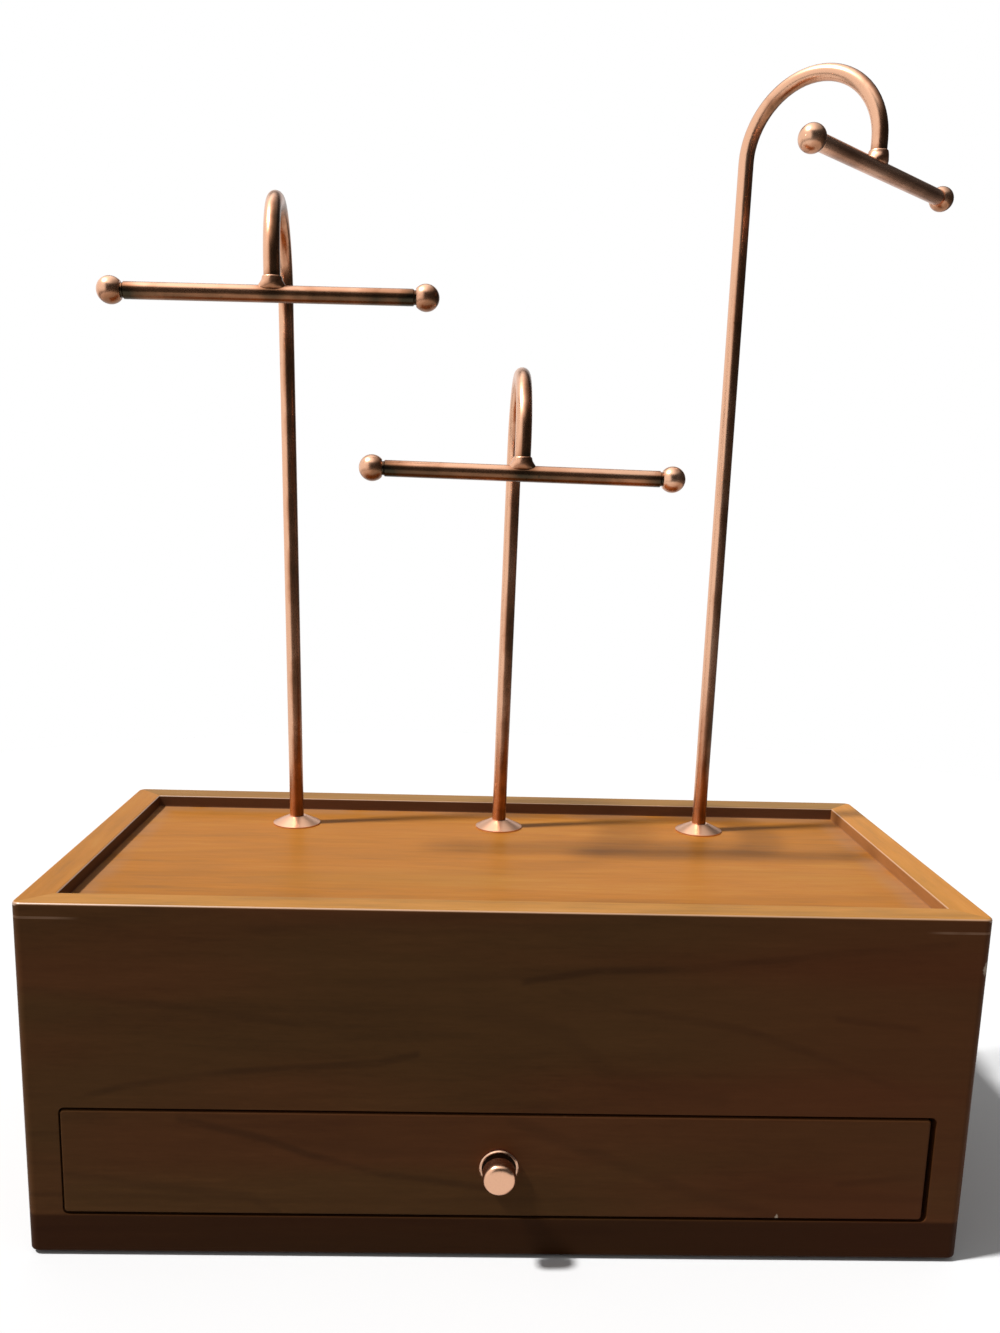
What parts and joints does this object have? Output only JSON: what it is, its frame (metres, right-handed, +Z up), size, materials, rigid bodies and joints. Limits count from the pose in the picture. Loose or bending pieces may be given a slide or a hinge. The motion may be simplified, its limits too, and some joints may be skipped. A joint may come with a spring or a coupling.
{
  "type": "jewellery stand with drawer",
  "caption": "Jewellery stand: a wooden box with a tray top and a shallow drawer, carrying tall bent-rod T-bar hangers that turn on their posts.",
  "frame": {"origin": "centre of the underside, on the surface that the stand rests on", "axes": "+X to the viewer's right, +Y to the back, +Z up; the drawer front faces -Y"},
  "size_m": [0.3096, 0.1514, 0.388],
  "materials": {
    "walnut_veneer": "satin lacquer on walnut veneer",
    "stained_drawer_wood": "stained and sealed",
    "plain_softwood": "planed, unfinished",
    "thin_board": "thin pressed board",
    "base_felt": "glued felt",
    "drawer_felt": "brushed felt",
    "antique_copper": "copper plate, brushed and darkened",
    "turned_brass": "as turned",
    "zinc_steel": "zinc plated"
  },
  "bodies": {
    "case": {"front_panel": "walnut_veneer", "left_side_panel": "walnut_veneer", "right_side_panel": "walnut_veneer", "back_panel": "walnut_veneer", "tray_floor": "walnut_veneer", "front_tray_ledger": "plain_softwood", "back_tray_ledger": "plain_softwood", "corner_blocks": "plain_softwood", "bottom_panel": "thin_board", "dust_panel": "thin_board", "left_runner": "plain_softwood", "right_runner": "plain_softwood", "left_kicker": "plain_softwood", "right_kicker": "plain_softwood", "base_felt": "base_felt", "left_stud_bush": "turned_brass", "middle_stud_bush": "turned_brass", "right_stud_bush": "turned_brass"},
    "drawer": {"drawer_front": "walnut_veneer", "drawer_left_side": "stained_drawer_wood", "drawer_right_side": "stained_drawer_wood", "drawer_back": "stained_drawer_wood", "drawer_bottom": "thin_board", "drawer_lining": "drawer_felt", "drawer_dowels": "plain_softwood", "knob_cup": "antique_copper", "knob": "antique_copper", "knob_screw": "zinc_steel"},
    "left_hanger": {"left_hanger_rod": "antique_copper", "left_hanger_flange": "antique_copper", "left_hanger_bar": "antique_copper", "left_hanger_left_ball": "antique_copper", "left_hanger_right_ball": "antique_copper", "left_hanger_solder_collar": "antique_copper", "left_hanger_stud_washer": "zinc_steel", "left_hanger_lock_nut": "zinc_steel"},
    "middle_hanger": {"middle_hanger_rod": "antique_copper", "middle_hanger_flange": "antique_copper", "middle_hanger_bar": "antique_copper", "middle_hanger_left_ball": "antique_copper", "middle_hanger_right_ball": "antique_copper", "middle_hanger_solder_collar": "antique_copper", "middle_hanger_stud_washer": "zinc_steel", "middle_hanger_lock_nut": "zinc_steel"},
    "right_hanger": {"right_hanger_rod": "antique_copper", "right_hanger_flange": "antique_copper", "right_hanger_bar": "antique_copper", "right_hanger_left_ball": "antique_copper", "right_hanger_right_ball": "antique_copper", "right_hanger_solder_collar": "antique_copper", "right_hanger_stud_washer": "zinc_steel", "right_hanger_lock_nut": "zinc_steel"}
  },
  "joints": [
    {"name": "drawer_slide", "type": "slide", "parent": "case", "child": "drawer", "axis": [0, -1, 0], "range_m": [0, 0.092]},
    {"name": "left_hanger_swivel", "type": "hinge", "parent": "case", "child": "left_hanger", "pos_m": [-0.08, 0.0394, 0.1134], "axis": [0, 0, 1], "continuous": true},
    {"name": "middle_hanger_swivel", "type": "hinge", "parent": "case", "child": "middle_hanger", "pos_m": [-0.0003, 0.0394, 0.1134], "axis": [0, 0, 1], "continuous": true},
    {"name": "right_hanger_swivel", "type": "hinge", "parent": "case", "child": "right_hanger", "pos_m": [0.0794, 0.0394, 0.1134], "axis": [0, 0, 1], "continuous": true}
  ]
}
